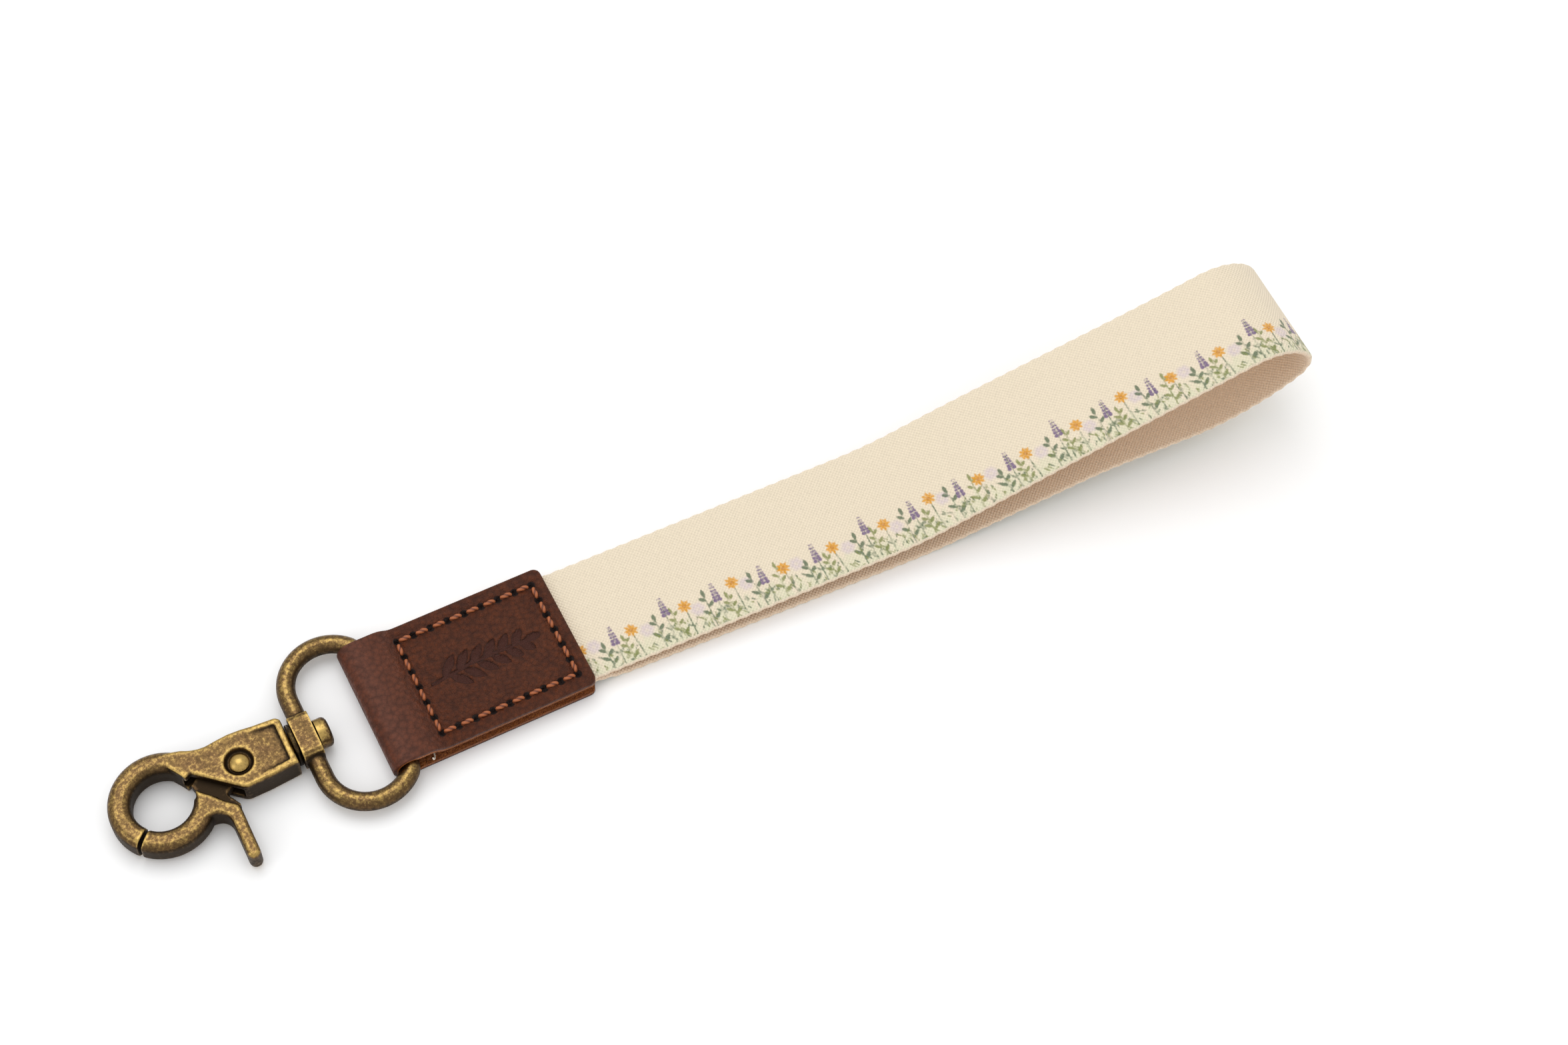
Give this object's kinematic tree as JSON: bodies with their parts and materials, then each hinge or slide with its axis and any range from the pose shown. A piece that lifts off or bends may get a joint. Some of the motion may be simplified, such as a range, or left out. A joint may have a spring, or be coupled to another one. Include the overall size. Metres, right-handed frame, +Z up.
{
  "type": "wristlet keychain",
  "caption": "Webbing wrist loop sewn into a folded leather tab, with an oval ring in the fold and a swivelling trigger snap hook for keys.",
  "frame": {"origin": "centre of the leather tab's underside, where it lies on the table", "axes": "+X along the tab from the hook to the far end of the wrist loop; +Z up, out of the tab's upper face"},
  "size_m": [0.2553, 0.0388, 0.03],
  "materials": {
    "webbing": "woven cream webbing with a printed wildflower border",
    "leather": "semi-matte brown hide, fine grain",
    "thread": "waxed twisted thread",
    "white_thread": "fine cotton thread",
    "antique_brass": "antiqued, brown-black patina in the recesses, rubbed bright on the edges",
    "dark_brass": "dark patina",
    "spring_steel": "plain wire"
  },
  "bodies": {
    "tab": {"strap": "webbing", "leather_tab": "leather", "tab_stitching": "thread", "thread_tail": "white_thread"},
    "ring": {"oval_ring": "antique_brass"},
    "hook": {"hook_body": "antique_brass", "gate_rivet": "antique_brass", "swivel_post": "antique_brass", "swivel_washer": "dark_brass"},
    "gate": {"gate_lever": "antique_brass", "gate_spring": "spring_steel"}
  },
  "joints": [
    {"name": "ring_pivot", "type": "hinge", "parent": "tab", "child": "ring", "pos_m": [-0.0179, 0, 0.0033], "axis": [0, 1, 0], "range_deg": [-130, 130]},
    {"name": "swivel", "type": "hinge", "parent": "ring", "child": "hook", "pos_m": [-0.035, 0, 0.0033], "axis": [1, 0, 0], "continuous": true},
    {"name": "gate_pivot", "type": "hinge", "parent": "hook", "child": "gate", "pos_m": [-0.04688, 0, 0.0033], "axis": [0, 0, 1], "range_deg": [0, 28], "stiffness_Nm_per_rad": 0.1, "springref_deg": -22.92}
  ]
}
